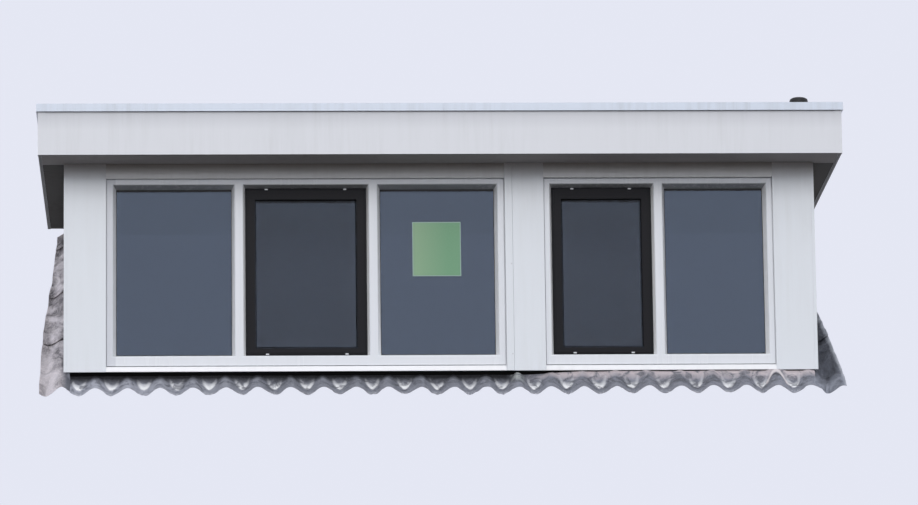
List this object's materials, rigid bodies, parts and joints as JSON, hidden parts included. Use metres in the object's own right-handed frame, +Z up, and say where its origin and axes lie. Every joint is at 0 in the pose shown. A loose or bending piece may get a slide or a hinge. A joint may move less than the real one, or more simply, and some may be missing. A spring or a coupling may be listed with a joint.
{
  "type": "flat roofed box dormer with a window front",
  "caption": "Flat-roofed box dormer for a tiled roof: white window front with insect screens, deep fascia, cheeks and wavy lead flashings.",
  "frame": {"origin": "middle of the underside of the front sole beam, where the dormer sits on the house's floor beam or rafters", "axes": "+X along the front to the right as seen from the street, +Y from the street into the roof, +Z up"},
  "size_m": [5.122, 2.7809, 2.027],
  "materials": {
    "structural_timber": "planed softwood",
    "deck_board": "wood strand board",
    "inner_lining": "painted board",
    "cheek_cladding": "satin white boards",
    "roof_membrane": "mineral grey roofing",
    "black_plastic": "weathered black",
    "soffit_board": "satin white board",
    "fascia_board": "satin white board",
    "edge_trim": "white coated extrusion",
    "front_panel": "satin white panel",
    "window_profile": "smooth white profile",
    "window_glass": "double glazing",
    "screen_frame": "black coated aluminium",
    "screen_mesh": "fine black gauze",
    "lead_sheet": "dressed sheet lead"
  },
  "bodies": {
    "root": {"sole_beam": "structural_timber", "head_beam": "structural_timber", "left_post": "structural_timber", "middle_post": "structural_timber", "right_post": "structural_timber", "left_cheek_frame": "structural_timber", "right_cheek_frame": "structural_timber", "left_cheek_cladding": "cheek_cladding", "right_cheek_cladding": "cheek_cladding", "left_cheek_lining": "inner_lining", "right_cheek_lining": "inner_lining", "ceiling_panel": "inner_lining", "roof_joists": "structural_timber", "roof_deck": "deck_board", "roof_kerb": "structural_timber", "roof_membrane": "roof_membrane", "roof_vent": "black_plastic", "soffit_front": "soffit_board", "soffit_left": "soffit_board", "soffit_right": "soffit_board", "fascia_front": "fascia_board", "fascia_left": "fascia_board", "fascia_right": "fascia_board", "edge_trim_front": "edge_trim", "edge_trim_left": "edge_trim", "edge_trim_right": "edge_trim", "left_corner_panel": "front_panel", "left_head_panel": "front_panel", "cover_strip": "front_panel", "middle_leg_panel": "front_panel", "right_head_panel": "front_panel", "right_corner_panel": "front_panel", "corner_trims": "front_panel", "fascia_corners": "edge_trim", "left_sill_strip": "front_panel", "right_sill_strip": "front_panel", "left_window_frame": "window_profile", "right_window_frame": "window_profile", "first_glass": "window_glass", "third_glass": "window_glass", "fifth_glass": "window_glass", "left_glazing_beads": "window_profile", "right_glazing_beads": "window_profile", "left_sash": "window_profile", "right_sash": "window_profile", "second_glass": "window_glass", "fourth_glass": "window_glass", "left_screen_frame": "screen_frame", "right_screen_frame": "screen_frame", "left_screen_mesh": "screen_mesh", "right_screen_mesh": "screen_mesh", "lead_apron": "lead_sheet", "foot_seal": "black_plastic", "left_lead": "lead_sheet", "right_lead": "lead_sheet"}
  },
  "joints": []
}
